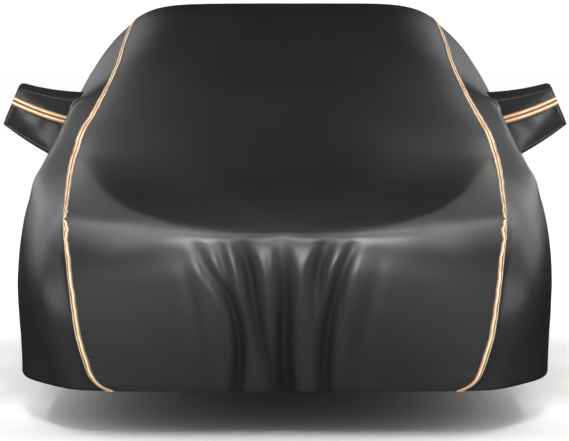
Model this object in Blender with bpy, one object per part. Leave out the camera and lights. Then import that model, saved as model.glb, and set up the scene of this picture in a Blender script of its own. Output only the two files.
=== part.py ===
"""Fitted car cover: a long centre panel, two side panels and two mirror pockets.

The cover hangs as it does over a saloon car and is hollow inside. Metres, +Z up.
The front faces -Y. The origin is on the underside of the cloth at the roof's crown.
In the tables, "back" is the distance behind the nose, "up" the height above the
ground and "out" the distance from the middle plane.
"""

from math import exp, pi, sin

import bmesh
import bpy
from mathutils import Vector

# Cloth and sewing
CLOTH = 0.0024              # thickness of the padded cover cloth
TAPE_WIDTH = 0.030          # seam tape over each long seam
TAPE_THICK = 0.0014
SEWN_GAP = 0.0006           # between two edges that are sewn together
LAID_GAP = 0.0004           # between a tape and the cloth under it
CORNER_LIFT = 0.0006        # how much more the tape stands off where the seam turns
CORNER_REACH = 0.7          # sections over which that lift fades

# Where the tables' "back" and "up" lie in the part's own frame
ROOF_UP = 1.456             # top of the roof above the ground
CROWN_BACK = 2.70           # the roof's crown behind the nose
GROUND_Z = CLOTH - ROOF_UP

# Sections of the centre panel from the front hem to the rear hem.
# mid_back, mid_up: on the middle plane; seam_out, seam_back, seam_up: at the long seam;
# sweep: how late the section bends backwards; shoulder: how late it turns down.
SECTION_COLUMNS = ("mid_back", "mid_up", "seam_out", "seam_back", "seam_up", "sweep", "shoulder")
SECTIONS = (
    (0.055, 0.150, 0.567, 0.060, 0.150, 2.2, 2.0),   # 0 front hem
    (0.050, 0.176, 0.612, 0.060, 0.172, 2.2, 2.0),
    (0.045, 0.218, 0.641, 0.065, 0.212, 2.2, 2.0),
    (0.036, 0.320, 0.675, 0.080, 0.320, 2.2, 2.0),
    (0.032, 0.430, 0.697, 0.110, 0.440, 2.2, 2.0),   # 4 bumper
    (0.038, 0.540, 0.714, 0.165, 0.555, 2.2, 2.0),
    (0.066, 0.625, 0.728, 0.260, 0.645, 2.2, 2.0),
    (0.105, 0.668, 0.737, 0.350, 0.700, 2.2, 1.0),   # 7 front ridge
    (0.200, 0.702, 0.742, 0.520, 0.738, 2.2, 2.6),
    (0.360, 0.738, 0.746, 0.700, 0.775, 2.4, 5.0),
    (0.580, 0.783, 0.752, 0.900, 0.815, 2.6, 8.0),   # 10 bonnet
    (0.820, 0.835, 0.756, 1.080, 0.850, 2.6, 9.0),
    (1.080, 0.905, 0.754, 1.220, 0.886, 2.4, 6.0),
    (1.320, 1.000, 0.738, 1.360, 0.960, 2.2, 4.5),   # 13 windscreen foot
    (1.550, 1.110, 0.705, 1.520, 1.030, 2.0, 4.0),
    (1.780, 1.222, 0.668, 1.720, 1.118, 2.0, 4.0),
    (2.000, 1.325, 0.635, 1.930, 1.212, 2.0, 4.5),
    (2.220, 1.403, 0.619, 2.180, 1.300, 2.0, 5.5),
    (2.440, 1.446, 0.604, 2.430, 1.366, 2.0, 7.0),   # 18 roof front
    (2.700, 1.456, 0.596, 2.690, 1.394, 2.0, 8.0),   # 19 crown
    (2.980, 1.452, 0.595, 2.970, 1.390, 2.0, 8.0),
    (3.260, 1.426, 0.600, 3.240, 1.358, 2.0, 6.0),   # 21 roof rear
    (3.500, 1.362, 0.612, 3.460, 1.288, 2.0, 5.0),
    (3.740, 1.262, 0.636, 3.690, 1.180, 2.0, 4.5),   # 23 rear glass
    (3.960, 1.160, 0.668, 3.910, 1.072, 2.0, 4.5),
    (4.170, 1.088, 0.698, 4.110, 0.988, 2.0, 5.0),   # 25 boot
    (4.370, 1.050, 0.716, 4.290, 0.930, 2.2, 5.0),
    (4.520, 0.995, 0.724, 4.420, 0.870, 2.4, 3.0),   # 27 rear ridge
    (4.580, 0.890, 0.724, 4.470, 0.780, 2.4, 2.0),
    (4.598, 0.740, 0.720, 4.495, 0.660, 2.4, 2.0),
    (4.600, 0.580, 0.712, 4.505, 0.520, 2.4, 2.0),
    (4.592, 0.410, 0.698, 4.500, 0.370, 2.4, 2.0),
    (4.578, 0.265, 0.668, 4.490, 0.245, 2.4, 2.0),
    (4.566, 0.190, 0.632, 4.480, 0.182, 2.4, 2.0),
    (4.560, 0.150, 0.585, 4.475, 0.150, 2.4, 2.0),   # 34 rear hem
)
FRONT_RIDGE = 7
REAR_RIDGE = 27
LAST_SECTION = len(SECTIONS) - 1

# Sections of a side panel. Each leaves the long seam at the section given as "leaves"
# and runs down over the cabin, the shoulder and the belly to the hem.
SIDE_COLUMNS = (
    "leaves", "hem_out", "hem_back", "belly_out", "belly_back", "belly_up",
    "shoulder_out", "shoulder_back", "shoulder_up", "cabin_out", "cabin_back", "cabin_up",
)
SIDE_SECTIONS = (
    (7.0, 0.567, 0.060, 0.705, 0.130, 0.500, 0.728, 0.260, 0.645, 0.733, 0.310, 0.676),
    (8.0, 0.690, 0.125, 0.805, 0.240, 0.440, 0.792, 0.370, 0.628, 0.768, 0.455, 0.696),
    (9.0, 0.785, 0.300, 0.872, 0.420, 0.450, 0.850, 0.555, 0.668, 0.806, 0.640, 0.742),
    (10.0, 0.870, 0.530, 0.915, 0.660, 0.470, 0.888, 0.780, 0.700, 0.834, 0.860, 0.788),
    (11.0, 0.912, 0.800, 0.927, 0.890, 0.500, 0.897, 0.980, 0.745, 0.852, 1.050, 0.834),
    (12.0, 0.920, 1.030, 0.928, 1.080, 0.500, 0.888, 1.150, 0.790, 0.838, 1.200, 0.878),
    (13.0, 0.922, 1.190, 0.928, 1.220, 0.500, 0.870, 1.280, 0.842, 0.808, 1.350, 0.952),
    (15.0, 0.923, 1.430, 0.928, 1.440, 0.500, 0.856, 1.470, 0.882, 0.764, 1.640, 1.082),
    (16.0, 0.924, 1.630, 0.929, 1.640, 0.500, 0.858, 1.680, 0.892, 0.758, 1.850, 1.108),
    (18.0, 0.924, 2.150, 0.930, 2.150, 0.520, 0.864, 2.180, 0.930, 0.706, 2.340, 1.258),
    (20.0, 0.924, 2.850, 0.930, 2.850, 0.520, 0.864, 2.870, 0.940, 0.700, 2.930, 1.275),
    (22.0, 0.920, 3.400, 0.925, 3.400, 0.520, 0.856, 3.410, 0.930, 0.716, 3.440, 1.185),
    (24.0, 0.914, 3.850, 0.916, 3.850, 0.510, 0.850, 3.860, 0.875, 0.758, 3.890, 1.005),
    (25.5, 0.892, 4.150, 0.896, 4.150, 0.500, 0.842, 4.150, 0.800, 0.780, 4.180, 0.905),
    (26.4, 0.815, 4.350, 0.836, 4.335, 0.470, 0.800, 4.345, 0.740, 0.766, 4.355, 0.852),
    (27.0, 0.585, 4.475, 0.710, 4.500, 0.500, 0.722, 4.480, 0.760, 0.724, 4.440, 0.830),
)
HEM_UP = 0.150
SIDE_KNOTS = (0.0, 0.34, 0.66, 0.88, 1.0)           # hem, belly, shoulder, cabin, seam
WINDOW_ROWS = (0.0, 0.38, 0.53, 0.78, 1.0)          # cabin line down to shoulder line
SEAM_MATCH = 1.2            # sections over which a side takes up the upright seam's exact run

# Mirror pocket: it leaves the side panel between two sections, from shoulder to cabin line.
POCKET_SECTIONS = (15.0, 16.0)
POCKET_FRONT_EDGE = (       # out, back, up of the front face's outer edge, top to bottom
    (0.982, 1.560, 1.128),
    (0.994, 1.545, 1.096),
    (1.006, 1.532, 1.064),
    (1.024, 1.515, 1.020),
    (1.033, 1.510, 0.994),
)
POCKET_PINCH = 0.020        # how far the side panel is drawn in at the pocket's root
PINCH_REACH = 1.3           # sections on each side of the pocket over which it fades
POCKET_DEPTH = 0.200        # from the front edge to the back edge
POCKET_RISE = 0.014         # how much higher the back edge lies
POCKET_TAPER = 0.008        # how much nearer the car the back edge's tip lies
POCKET_SAG = 0.006          # how far the edges between tip and side hang down
BAND_BULGE = 0.006          # how far the gusset swells between its edges
POCKET_COLUMNS = (0.0, 0.25, 0.5, 0.75, 1.0)
POCKET_BULGE = 0.013        # how far the faces swell between their edges
STRIPE_ROWS = (1, 2)        # the front face's rows that bound its stripe
STRIPE_END = 0.003          # the stripe stops this far short of the face's edges

# Hanging folds of the front. A row gives a valley's half width, then its place and its
# depth at the heights in FOLD_UP.
FOLD_UP = (0.660, 0.550, 0.440, 0.320, 0.150)
FOLDS = (
    # half width, outs at each height, depths at each height
    (0.018, (-0.355, -0.325, -0.300, -0.277, -0.262), (0.002, 0.008, 0.008, 0.006, 0.004)),
    (0.018, (-0.318, -0.250, -0.175, -0.149, -0.155), (0.001, 0.008, 0.018, 0.024, 0.020)),
    (0.016, (-0.225, -0.195, -0.172, -0.160, -0.160), (0.001, 0.010, 0.006, 0.000, 0.000)),
    (0.021, (-0.156, -0.118, -0.100, -0.078, -0.036), (0.004, 0.024, 0.020, 0.015, 0.012)),
    (0.022, (-0.014, -0.005, 0.000, -0.003, 0.006), (0.001, 0.016, 0.026, 0.032, 0.036)),
    (0.021, (0.147, 0.109, 0.103, 0.105, 0.108), (0.003, 0.018, 0.012, 0.008, 0.008)),
    (0.017, (0.243, 0.188, 0.157, 0.137, 0.133), (0.001, 0.015, 0.022, 0.024, 0.018)),
    (0.022, (0.345, 0.303, 0.274, 0.245, 0.212), (0.002, 0.009, 0.008, 0.008, 0.007)),
)
FOLD_SHOULDER = 0.30        # share of a valley's depth that rises again on each side
SHOULDER_AWAY = 2.0         # where it does, in half widths from the valley
FOLD_CLOSE = 0.006          # valleys fade out over this height below the ridge

# The mesh: rows are sections, columns are counted from the middle to the seam
FRONT_ROWS = (0, 1, 2, 3, 3.5, 4, 4.5, 5, 5.5, 6, 6.5, 7)
TOP_ROWS = (
    7, 7.5, 8, 8.5, 9, 9.5, 10, 11, 12, 13, 14, 15, 15.5, 16, 17, 18, 19, 20, 21, 22, 23, 24,
    25, 25.5, 26, 26.5, 27,
)
REAR_ROWS = tuple(LAST_SECTION - section for section in reversed(FRONT_ROWS))
FOLD_COLUMNS = 24           # across the folds on each half
OUTER_COLUMNS = 6           # from the folds to the seam on each half
FOLD_SHARE = 0.56           # the part of the half width that holds the folds
OUTER_CROWDING = 1.3        # how much closer the outer columns lie towards the seam
SEAM_COLUMN = FOLD_COLUMNS + OUTER_COLUMNS
BONNET_EVERY = 4            # fold columns kept behind the front ridge
ROOF_EVERY = 8              # fold columns kept behind the windscreen foot
ROOF_FROM = 13
BESIDE = 0.1                # added to a row or column number for the line at the tape's edge

SHARP_ANGLE = 0.9           # folds sharper than this keep a hard edge
COLOURS = {
    "cloth": (0.040, 0.040, 0.043, 1.0),
    "tape": (0.72, 0.48, 0.27, 1.0),
}
ROUGHNESS = {"cloth": 0.55, "tape": 0.4}


def clear_scene():
    for thing in list(bpy.data.objects):
        bpy.data.objects.remove(thing, do_unlink=True)


def material(name, kind):
    made = bpy.data.materials.new(name)
    made.use_nodes = True
    shader = made.node_tree.nodes["Principled BSDF"]
    shader.inputs["Base Color"].default_value = COLOURS[kind]
    shader.inputs["Roughness"].default_value = ROUGHNESS[kind]
    shader.inputs["Metallic"].default_value = 0.0
    return made


# ---------------------------------------------------------------- curves and tables

def through(places, values, place):
    """A smooth curve through values (numbers or vectors) set at rising places."""
    last = len(places) - 1
    k = 0
    while k < last - 1 and place > places[k + 1]:
        k += 1
    run = places[k + 1] - places[k]
    share = (place - places[k]) / run

    def slope(i):
        low, high = max(i - 1, 0), min(i + 1, last)
        if low == i or high == i:
            return (values[high] - values[low]) / (places[high] - places[low])
        before = (values[i] - values[low]) / (places[i] - places[low])
        after = (values[high] - values[i]) / (places[high] - places[i])
        ahead, behind = places[high] - places[i], places[i] - places[low]
        return (before * ahead + after * behind) / (ahead + behind)

    square, cube = share ** 2, share ** 3
    return (
        values[k] * (2 * cube - 3 * square + 1)
        + slope(k) * ((cube - 2 * square + share) * run)
        + values[k + 1] * (3 * square - 2 * cube)
        + slope(k + 1) * ((cube - square) * run)
    )


def column(table, names, name):
    at = names.index(name)
    return [row[at] for row in table]


def place(out, back, up):
    """A point of the tables in the part's own frame."""
    return Vector((out, back - CROWN_BACK, up + GROUND_Z))


def mirrored(point):
    return Vector((-point.x, point.y, point.z))


# ---------------------------------------------------------------- the shape of the cover

MID_BACK = column(SECTIONS, SECTION_COLUMNS, "mid_back")
MID_UP = column(SECTIONS, SECTION_COLUMNS, "mid_up")
TOP = slice(FRONT_RIDGE, REAR_RIDGE + 1)


def top_profile(back):
    """Height of the middle line between the two ridges."""
    return through(MID_BACK[TOP], MID_UP[TOP], back)


def section_point(index, across):
    """A point of one section; across is -1 at the left seam and 1 at the right one."""
    mid_back, mid_up, seam_out, seam_back, seam_up, sweep, shoulder = SECTIONS[index]
    reach = abs(across)
    back = mid_back + (seam_back - mid_back) * reach ** sweep
    if FRONT_RIDGE <= index <= REAR_RIDGE:
        drop = top_profile(seam_back) - seam_up
        up = top_profile(back) - drop * reach ** shoulder
    else:
        up = mid_up + (seam_up - mid_up) * reach ** shoulder
    return place(seam_out * across, back, up)


def fold_push(out, up):
    """How far the front's folds lie behind its smooth surface at a place."""
    if up >= FOLD_UP[0]:
        return 0.0
    heights = FOLD_UP[::-1]
    push = 0.0
    for half_width, outs, depths in FOLDS:
        depth = through(heights, depths[::-1], max(up, heights[0]))
        away = (out - through(heights, outs[::-1], max(up, heights[0]))) / half_width
        valley = exp(-away ** 2)
        sides = exp(-(away - SHOULDER_AWAY) ** 2) + exp(-(away + SHOULDER_AWAY) ** 2)
        push += depth * (valley - FOLD_SHOULDER * sides)
    return push * min(1.0, (FOLD_UP[0] - up) / FOLD_CLOSE)


def centre_point(section, across):
    """A point of the centre panel at any section, whole or part, with its folds."""
    low = min(max(int(section) - 1, 0), LAST_SECTION - 3)
    near = list(range(low, low + 4))
    point = through(near, [section_point(k, across) for k in near], section)
    if section < FRONT_RIDGE:
        point.y += fold_push(point.x, point.z - GROUND_Z)
    return point


def seam_point(section):
    return centre_point(section, 1.0)


# A side's rows: 0 is the hem, the last is the seam. The window for the pocket lies between
# the shoulder line and the cabin line.
SHOULDER_RISE, CABIN_RISE = SIDE_KNOTS[2], SIDE_KNOTS[3]
LOWER_RISES = [0.0, 0.06, 0.16, 0.28, 0.41, 0.54]
WINDOW_RISES = [CABIN_RISE - (CABIN_RISE - SHOULDER_RISE) * share for share in reversed(WINDOW_ROWS)]
SIDE_RISES = LOWER_RISES + WINDOW_RISES + [1.0]
WINDOW_LOW = len(LOWER_RISES)
WINDOW_HIGH = WINDOW_LOW + len(WINDOW_RISES) - 1
LAST_ROW = len(SIDE_RISES) - 1


def side_knots(section):
    """Hem, belly, shoulder, cabin and seam point of the right side at a section."""
    leaves = column(SIDE_SECTIONS, SIDE_COLUMNS, "leaves")

    def at(name):
        return through(leaves, column(SIDE_SECTIONS, SIDE_COLUMNS, name), section)

    return [
        place(at("hem_out"), at("hem_back"), HEM_UP),
        place(at("belly_out"), at("belly_back"), at("belly_up")),
        place(at("shoulder_out"), at("shoulder_back"), at("shoulder_up")),
        place(at("cabin_out"), at("cabin_back"), at("cabin_up")),
        seam_point(section),
    ]


def seam_share(rise):
    """Share of the upright seam that a place on the side meets: equal steps for its rows."""
    return through(SIDE_RISES, [row / LAST_ROW for row in range(LAST_ROW + 1)], rise)


def upright_seam_point(rise, ridge):
    """The seam below one of the two ridges, beside a place on the side panel."""
    rows = FRONT_ROWS if ridge == FRONT_RIDGE else REAR_ROWS[::-1]
    row = round(seam_share(rise) * LAST_ROW)
    return seam_point(rows[row])


def side_point(section, rise):
    """A point of the right side panel; rise is 0 at the hem and 1 at the seam's top run."""
    point = through(SIDE_KNOTS, side_knots(section), rise)
    for ridge in (FRONT_RIDGE, REAR_RIDGE):
        fade = max(0.0, 1.0 - abs(section - ridge) / SEAM_MATCH) ** 2
        if fade > 0.0:
            smooth = through(SIDE_KNOTS, side_knots(ridge), rise)
            point = point + (upright_seam_point(rise, ridge) - smooth) * fade
    away = abs(section - sum(POCKET_SECTIONS) / 2) / PINCH_REACH
    if SHOULDER_RISE < rise < CABIN_RISE:
        share = (rise - SHOULDER_RISE) / (CABIN_RISE - SHOULDER_RISE)
        point.x -= POCKET_PINCH * exp(-away ** 2) * sin(pi * share) ** 2
    return point


# ---------------------------------------------------------------- patches of cloth

class Patch:
    """A piece of cloth as lines of points. Each line is a dict of number: point."""

    def __init__(self, name, kind, lines, outward):
        self.name = name
        self.kind = kind
        self.lines = lines          # dict of line number: {place number: point}
        self.outward = outward      # a direction that the middle of its face turns to
        self.strips = []            # (place, place) pairs that are cut on a fixed diagonal
        self.holes = []             # (line, line, place, place) ranges left out
        self.corners = []           # triangles that the lines leave open

    def weave(self):
        """The outer face as a bmesh, with a vertex for each (line, place)."""
        self.mesh = bmesh.new()
        self.vertices = {}
        for line, points in self.lines.items():
            for spot, point in points.items():
                self.vertices[line, spot] = self.mesh.verts.new(point)
        numbers = sorted(self.lines)
        for low, high in zip(numbers, numbers[1:]):
            self.weave_between(low, high)
        for keys in self.corners:
            self.mesh.faces.new([self.vertices[key] for key in keys])
        # Both faces of the cloth take these triangles, so that its walls stay parallel.
        bmesh.ops.triangulate(self.mesh, faces=self.mesh.faces, quad_method="SHORT_EDGE")
        self.mesh.normal_update()
        facing = sum((face.normal * face.calc_area() for face in self.mesh.faces), Vector())
        if facing.dot(self.outward) < 0.0:
            bmesh.ops.reverse_faces(self.mesh, faces=self.mesh.faces)
            self.mesh.normal_update()
        self.own_normals = {key: vertex.normal.copy() for key, vertex in self.vertices.items()}

    def weave_between(self, low, high):
        below, above = self.lines[low], self.lines[high]
        shared = sorted(set(below) & set(above))
        for left, right in zip(shared, shared[1:]):
            if any(low >= a and high <= b and left >= c and right <= d for a, b, c, d in self.holes):
                continue
            corners = [(low, k) for k in sorted(below) if left <= k <= right]
            corners += [(high, k) for k in sorted(above, reverse=True) if left <= k <= right]
            self.weave_face(corners, low, high, left, right)

    def weave_face(self, corners, low, high, left, right):
        diagonal = self.fixed_diagonal(low, high, left, right)
        if diagonal is None or len(corners) != 4:
            self.mesh.faces.new([self.vertices[key] for key in corners])
            return
        for third in corners:
            if third not in diagonal:
                kept = [key for key in corners if key == third or key in diagonal]
                self.mesh.faces.new([self.vertices[key] for key in kept])

    def fixed_diagonal(self, low, high, left, right):
        """A tape's cloth is cut as the tape is: from the seam to the tape's edge, rearwards."""
        for strip in self.strips:
            found = strip(low, high, left, right)
            if found:
                return found
        return None


def key_of(point):
    return tuple(round(value, 5) for value in point)


def sew(patches):
    """Give the points where patches meet one common normal, and return those points."""
    meeting = {}
    for patch in patches:
        for key, normal in patch.own_normals.items():
            point = patch.vertices[key].co
            meeting.setdefault(key_of(point), []).append((patch, normal))
    return {
        point: sum((normal for _, normal in found), Vector()).normalized()
        for point, found in meeting.items() if len({patch.name for patch, _ in found}) > 1
    }


def thicken(patch, sewn):
    """Pull sewn edges a little apart, add the inner face and close the rim."""
    mesh = patch.mesh
    outer = list(mesh.verts)
    outer_faces = list(mesh.faces)
    rim = [edge.link_loops[0] for edge in mesh.edges if edge.is_boundary]
    rim = [(loop.vert, loop.link_loop_next.vert) for loop in rim]
    keys = {vertex: key_of(vertex.co) for vertex in outer}
    inner_places = {}
    moves = {}
    for vertex in outer:
        normal = sewn.get(keys[vertex], vertex.normal)
        inner_places[vertex] = vertex.co - normal * CLOTH
        if keys[vertex] in sewn:
            linked = [edge.other_vert(vertex) for edge in vertex.link_edges]
            free = [other for other in linked if keys[other] not in sewn] or linked
            pull = sum(((other.co - vertex.co).normalized() for other in free), Vector())
            moves[vertex] = pull.normalized() * (SEWN_GAP / 2)
    inner = {}
    for vertex in outer:
        inner[vertex] = mesh.verts.new(inner_places[vertex] + moves.get(vertex, Vector()))
    for vertex, move in moves.items():
        vertex.co = vertex.co + move
    for face in outer_faces:
        mesh.faces.new([inner[vertex] for vertex in reversed(face.verts)])
    for first, second in rim:
        # Both of two sewn rims are cut on the same diagonal, so that they stay parallel.
        if keys[first][2] < keys[second][2]:
            mesh.faces.new((second, first, inner[second]))
            mesh.faces.new((first, inner[first], inner[second]))
        else:
            mesh.faces.new((second, first, inner[first]))
            mesh.faces.new((second, inner[first], inner[second]))


def finish(name, mesh, kind, parent):
    bmesh.ops.recalc_face_normals(mesh, faces=mesh.faces)
    if mesh.calc_volume(signed=True) < 0.0:
        bmesh.ops.reverse_faces(mesh, faces=mesh.faces)
    data = bpy.data.meshes.new(name)
    mesh.to_mesh(data)
    mesh.free()
    data.shade_smooth()
    data.set_sharp_from_angle(angle=SHARP_ANGLE)
    data.materials.append(material(name, kind))
    made = bpy.data.objects.new(name, data)
    bpy.context.scene.collection.objects.link(made)
    made.parent = parent
    return made


# ---------------------------------------------------------------- the panels

def beside(edge, inside):
    """The point half a tape's width in from an edge point."""
    return edge.lerp(inside, TAPE_WIDTH / 2 / (inside - edge).length)


def across_of(number):
    """Where a column of the centre panel lies: 0 in the middle, 1 at the seam."""
    if number <= FOLD_COLUMNS:
        return FOLD_SHARE * number / FOLD_COLUMNS
    left = (SEAM_COLUMN - number) / OUTER_COLUMNS
    return 1.0 - (1.0 - FOLD_SHARE) * left ** OUTER_CROWDING


def centre_line(section):
    """One row of the centre panel, with fewer columns where it is smooth."""
    every = 1 if section < FRONT_RIDGE else BONNET_EVERY if section < ROOF_FROM else ROOF_EVERY
    half = [k for k in range(FOLD_COLUMNS + 1) if k % every == 0]
    half += range(FOLD_COLUMNS + 1, SEAM_COLUMN - 1)
    line = {}
    for sign in (-1, 1):
        for number in half:
            line[sign * number] = centre_point(section, sign * across_of(number))
        seam = centre_point(section, sign)
        line[sign * SEAM_COLUMN] = seam
        line[sign * (SEAM_COLUMN - BESIDE)] = beside(seam, line[sign * half[-1]])
    return line


def centre_strip(low, high, left, right):
    if left == SEAM_COLUMN - BESIDE:
        return (low, right), (high, left)
    if right == BESIDE - SEAM_COLUMN:
        return (low, left), (high, right)
    return None


def centre_patch():
    rows = FRONT_ROWS + TOP_ROWS[1:] + REAR_ROWS[1:]
    patch = Patch("centre_panel", "cloth", {s: centre_line(s) for s in rows}, Vector((0, 0, 1)))
    patch.strips = [centre_strip]
    return patch


def side_line(section):
    """One line of the right side panel from the hem up to the seam."""
    near_pocket = POCKET_SECTIONS[0] - 1 <= section <= POCKET_SECTIONS[1] + 1
    full = near_pocket or section in (FRONT_RIDGE, REAR_RIDGE)
    kept = [row for row in range(LAST_ROW + 1) if full or row % 2 == 0 or row == LAST_ROW]
    if POCKET_SECTIONS[0] < section < POCKET_SECTIONS[1]:
        kept = [row for row in kept if not WINDOW_LOW < row < WINDOW_HIGH]
    return {row: side_point(section, SIDE_RISES[row]) for row in kept}


def side_strip(low, high, left, right):
    if left == LAST_ROW - BESIDE:
        return (low, right), (high, left)
    if low == FRONT_RIDGE:
        return (low, left), (high, right)
    if high == REAR_RIDGE:
        return (high, right), (low, left)
    return None


def corner_faces(edge, inside, sign):
    """A side panel's cloth where its two seams meet, cut as the tape over it is."""
    strip, top, low = edge + sign * BESIDE, LAST_ROW - BESIDE, LAST_ROW - 1
    corner, near = (edge, LAST_ROW), (strip, top)
    if sign > 0:
        return [
            ((edge, low), corner, near), ((edge, low), near, (strip, low)),
            (corner, (inside, LAST_ROW), (inside, top)), (near, corner, (inside, top)),
        ]
    return [
        ((strip, low), corner, (edge, low)), ((strip, low), near, corner),
        ((inside, LAST_ROW), corner, near), ((inside, top), (inside, LAST_ROW), near),
    ]


def side_patch(side):
    lines = {section: side_line(section) for section in TOP_ROWS}
    ends = ((FRONT_RIDGE, TOP_ROWS[1], 1), (REAR_RIDGE, TOP_ROWS[-2], -1))
    for edge, inside, sign in ends:
        lines[edge + sign * BESIDE] = {
            row: beside(point, side_point(inside, SIDE_RISES[row]))
            for row, point in lines[edge].items()
        }
    for line in lines.values():
        line[LAST_ROW - BESIDE] = beside(line[LAST_ROW], line[WINDOW_HIGH])
    for edge, _, sign in ends:
        del lines[edge][LAST_ROW - BESIDE]
        del lines[edge + sign * BESIDE][LAST_ROW]
    if side < 0:
        lines = {s: {row: mirrored(p) for row, p in line.items()} for s, line in lines.items()}
    name = "side_panel_right" if side > 0 else "side_panel_left"
    patch = Patch(name, "cloth", lines, Vector((side, 0, 0)))
    patch.strips = [side_strip]
    patch.holes = [(*POCKET_SECTIONS, WINDOW_LOW, WINDOW_HIGH)]
    patch.corners = [face for end in ends for face in corner_faces(*end)]
    return patch


# ---------------------------------------------------------------- the mirror pockets

def pocket_edges(side):
    """Inner and outer edges, front and back, of a pocket, each from top to bottom."""
    inner = {
        section: [side_point(section, rise) for rise in reversed(WINDOW_RISES)]
        for section in POCKET_SECTIONS
    }
    front, back = POCKET_SECTIONS
    outer = {
        front: [place(*row) for row in POCKET_FRONT_EDGE],
        back: [
            place(out - POCKET_TAPER, deep + POCKET_DEPTH, up + POCKET_RISE)
            for out, deep, up in POCKET_FRONT_EDGE
        ],
    }
    if side < 0:
        inner = {s: [mirrored(p) for p in line] for s, line in inner.items()}
        outer = {s: [mirrored(p) for p in line] for s, line in outer.items()}
    return inner, outer


def pocket_face(name, inner, outer, facing):
    """The front or back face: lines run outwards from the side panel to the tip."""
    last = len(inner) - 1
    lines = {}
    for number, share in enumerate(POCKET_COLUMNS):
        swell = 4.0 * share * (1.0 - share)
        lines[number] = {}
        for row in range(last + 1):
            point = inner[row].lerp(outer[row], share)
            point.y += facing * POCKET_BULGE * swell * 4.0 * (row / last) * (1.0 - row / last)
            point.z -= POCKET_SAG * swell
            lines[number][row] = point
    patch = Patch(name, "cloth", lines, Vector((0, facing, 0)))
    patch.strips = [face_strip]
    return patch


def face_strip(low, high, left, right):
    """The cloth under the stripe is cut as the stripe is."""
    return ((low, left), (high, right)) if (left, right) == STRIPE_ROWS else None


def face_rim(face):
    """A face's edge as the band follows it: out along the top, down the tip, back in."""
    last = len(WINDOW_ROWS) - 1
    tip = len(POCKET_COLUMNS) - 1
    run = [(line, 0) for line in range(tip + 1)]
    run += [(tip, row) for row in range(1, last + 1)]
    run += [(line, last) for line in range(tip - 1, -1, -1)]
    return [face.lines[line][row] for line, row in run]


def pocket_band(name, front, back, side):
    """The gusset between a pocket's two faces."""
    middle = sum(POCKET_SECTIONS) / 2
    ends = [side_point(middle, CABIN_RISE), side_point(middle, SHOULDER_RISE)]
    if side < 0:
        ends = [mirrored(point) for point in ends]
    lines = {}
    front_rim, back_rim = face_rim(front), face_rim(back)
    last = len(front_rim) - 1
    centre = sum(front_rim + back_rim, Vector()) / (2 * last + 2)
    for number, (near, far) in enumerate(zip(front_rim, back_rim)):
        between = near.lerp(far, 0.5)
        away = between - centre
        away.y = 0.0
        between = between + away.normalized() * BAND_BULGE
        if number in (0, last):
            between = ends[0] if number == 0 else ends[1]
        lines[number] = {0: near, 1: between, 2: far}
    patch = Patch(name, "cloth", lines, Vector((side, 0, 0)))
    return patch


def pocket_patches(side):
    word = "right" if side > 0 else "left"
    inner, outer = pocket_edges(side)
    front_section, back_section = POCKET_SECTIONS
    front = pocket_face("mirror_front_" + word, inner[front_section], outer[front_section], -1)
    back = pocket_face("mirror_back_" + word, inner[back_section], outer[back_section], 1)
    band = pocket_band("mirror_band_" + word, front, back, side)
    return front, band, back


# ---------------------------------------------------------------- the tapes

def tape_mesh(rails, normals, gaps):
    """A ribbon over rails (lists of points), standing off the cloth by the gaps."""
    mesh = bmesh.new()
    under, over = [], []
    for rail, rail_normals in zip(rails, normals):
        under.append([
            mesh.verts.new(point + normal * gap)
            for point, normal, gap in zip(rail, rail_normals, gaps)
        ])
        over.append([
            mesh.verts.new(point + normal * (gap + TAPE_THICK))
            for point, normal, gap in zip(rail, rail_normals, gaps)
        ])
    count = len(rails[0])
    middle = len(rails) // 2
    for k in range(len(rails) - 1):
        seam, edge = (k, k + 1) if k >= middle else (k + 1, k)
        for layer in (under, over):
            for j in range(count - 1):
                mesh.faces.new((layer[seam][j], layer[seam][j + 1], layer[edge][j + 1]))
                mesh.faces.new((layer[seam][j], layer[edge][j + 1], layer[edge][j]))
        for j in (0, count - 1):
            mesh.faces.new((under[k][j], under[k + 1][j], over[k + 1][j], over[k][j]))
    for k in (0, len(rails) - 1):
        for j in range(count - 1):
            mesh.faces.new((under[k][j], under[k][j + 1], over[k][j + 1], over[k][j]))
    return mesh


def seam_tape(side, centre, panel, sewn):
    """The tape over a long seam: its two wings lie on the centre and the side panel."""
    rows = FRONT_ROWS + TOP_ROWS[1:] + REAR_ROWS[1:]
    on_centre = [(section, side * (SEAM_COLUMN - BESIDE)) for section in rows]
    on_seam = [(section, side * SEAM_COLUMN) for section in rows]
    top = LAST_ROW - BESIDE
    front, rear = FRONT_RIDGE + BESIDE, REAR_RIDGE - BESIDE
    on_side = [(front, row) for row in range(LAST_ROW)] + [(front, top)]
    on_side += [(section, top) for section in TOP_ROWS[1:-1]]
    on_side += [(rear, top)] + [(rear, row) for row in range(LAST_ROW - 1, -1, -1)]
    rails = [
        [panel.lines[line][spot] for line, spot in on_side],
        [centre.lines[line][spot] for line, spot in on_seam],
        [centre.lines[line][spot] for line, spot in on_centre],
    ]
    normals = [
        [panel.own_normals[key] for key in on_side],
        [sewn[key_of(point)] for point in rails[1]],
        [centre.own_normals[key] for key in on_centre],
    ]
    gaps = []
    for section in rows:
        near = min(abs(section - FRONT_RIDGE), abs(section - REAR_RIDGE)) / CORNER_REACH
        gaps.append(LAID_GAP + CORNER_LIFT * exp(-near ** 2))
    return tape_mesh(rails, normals, gaps)


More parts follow.
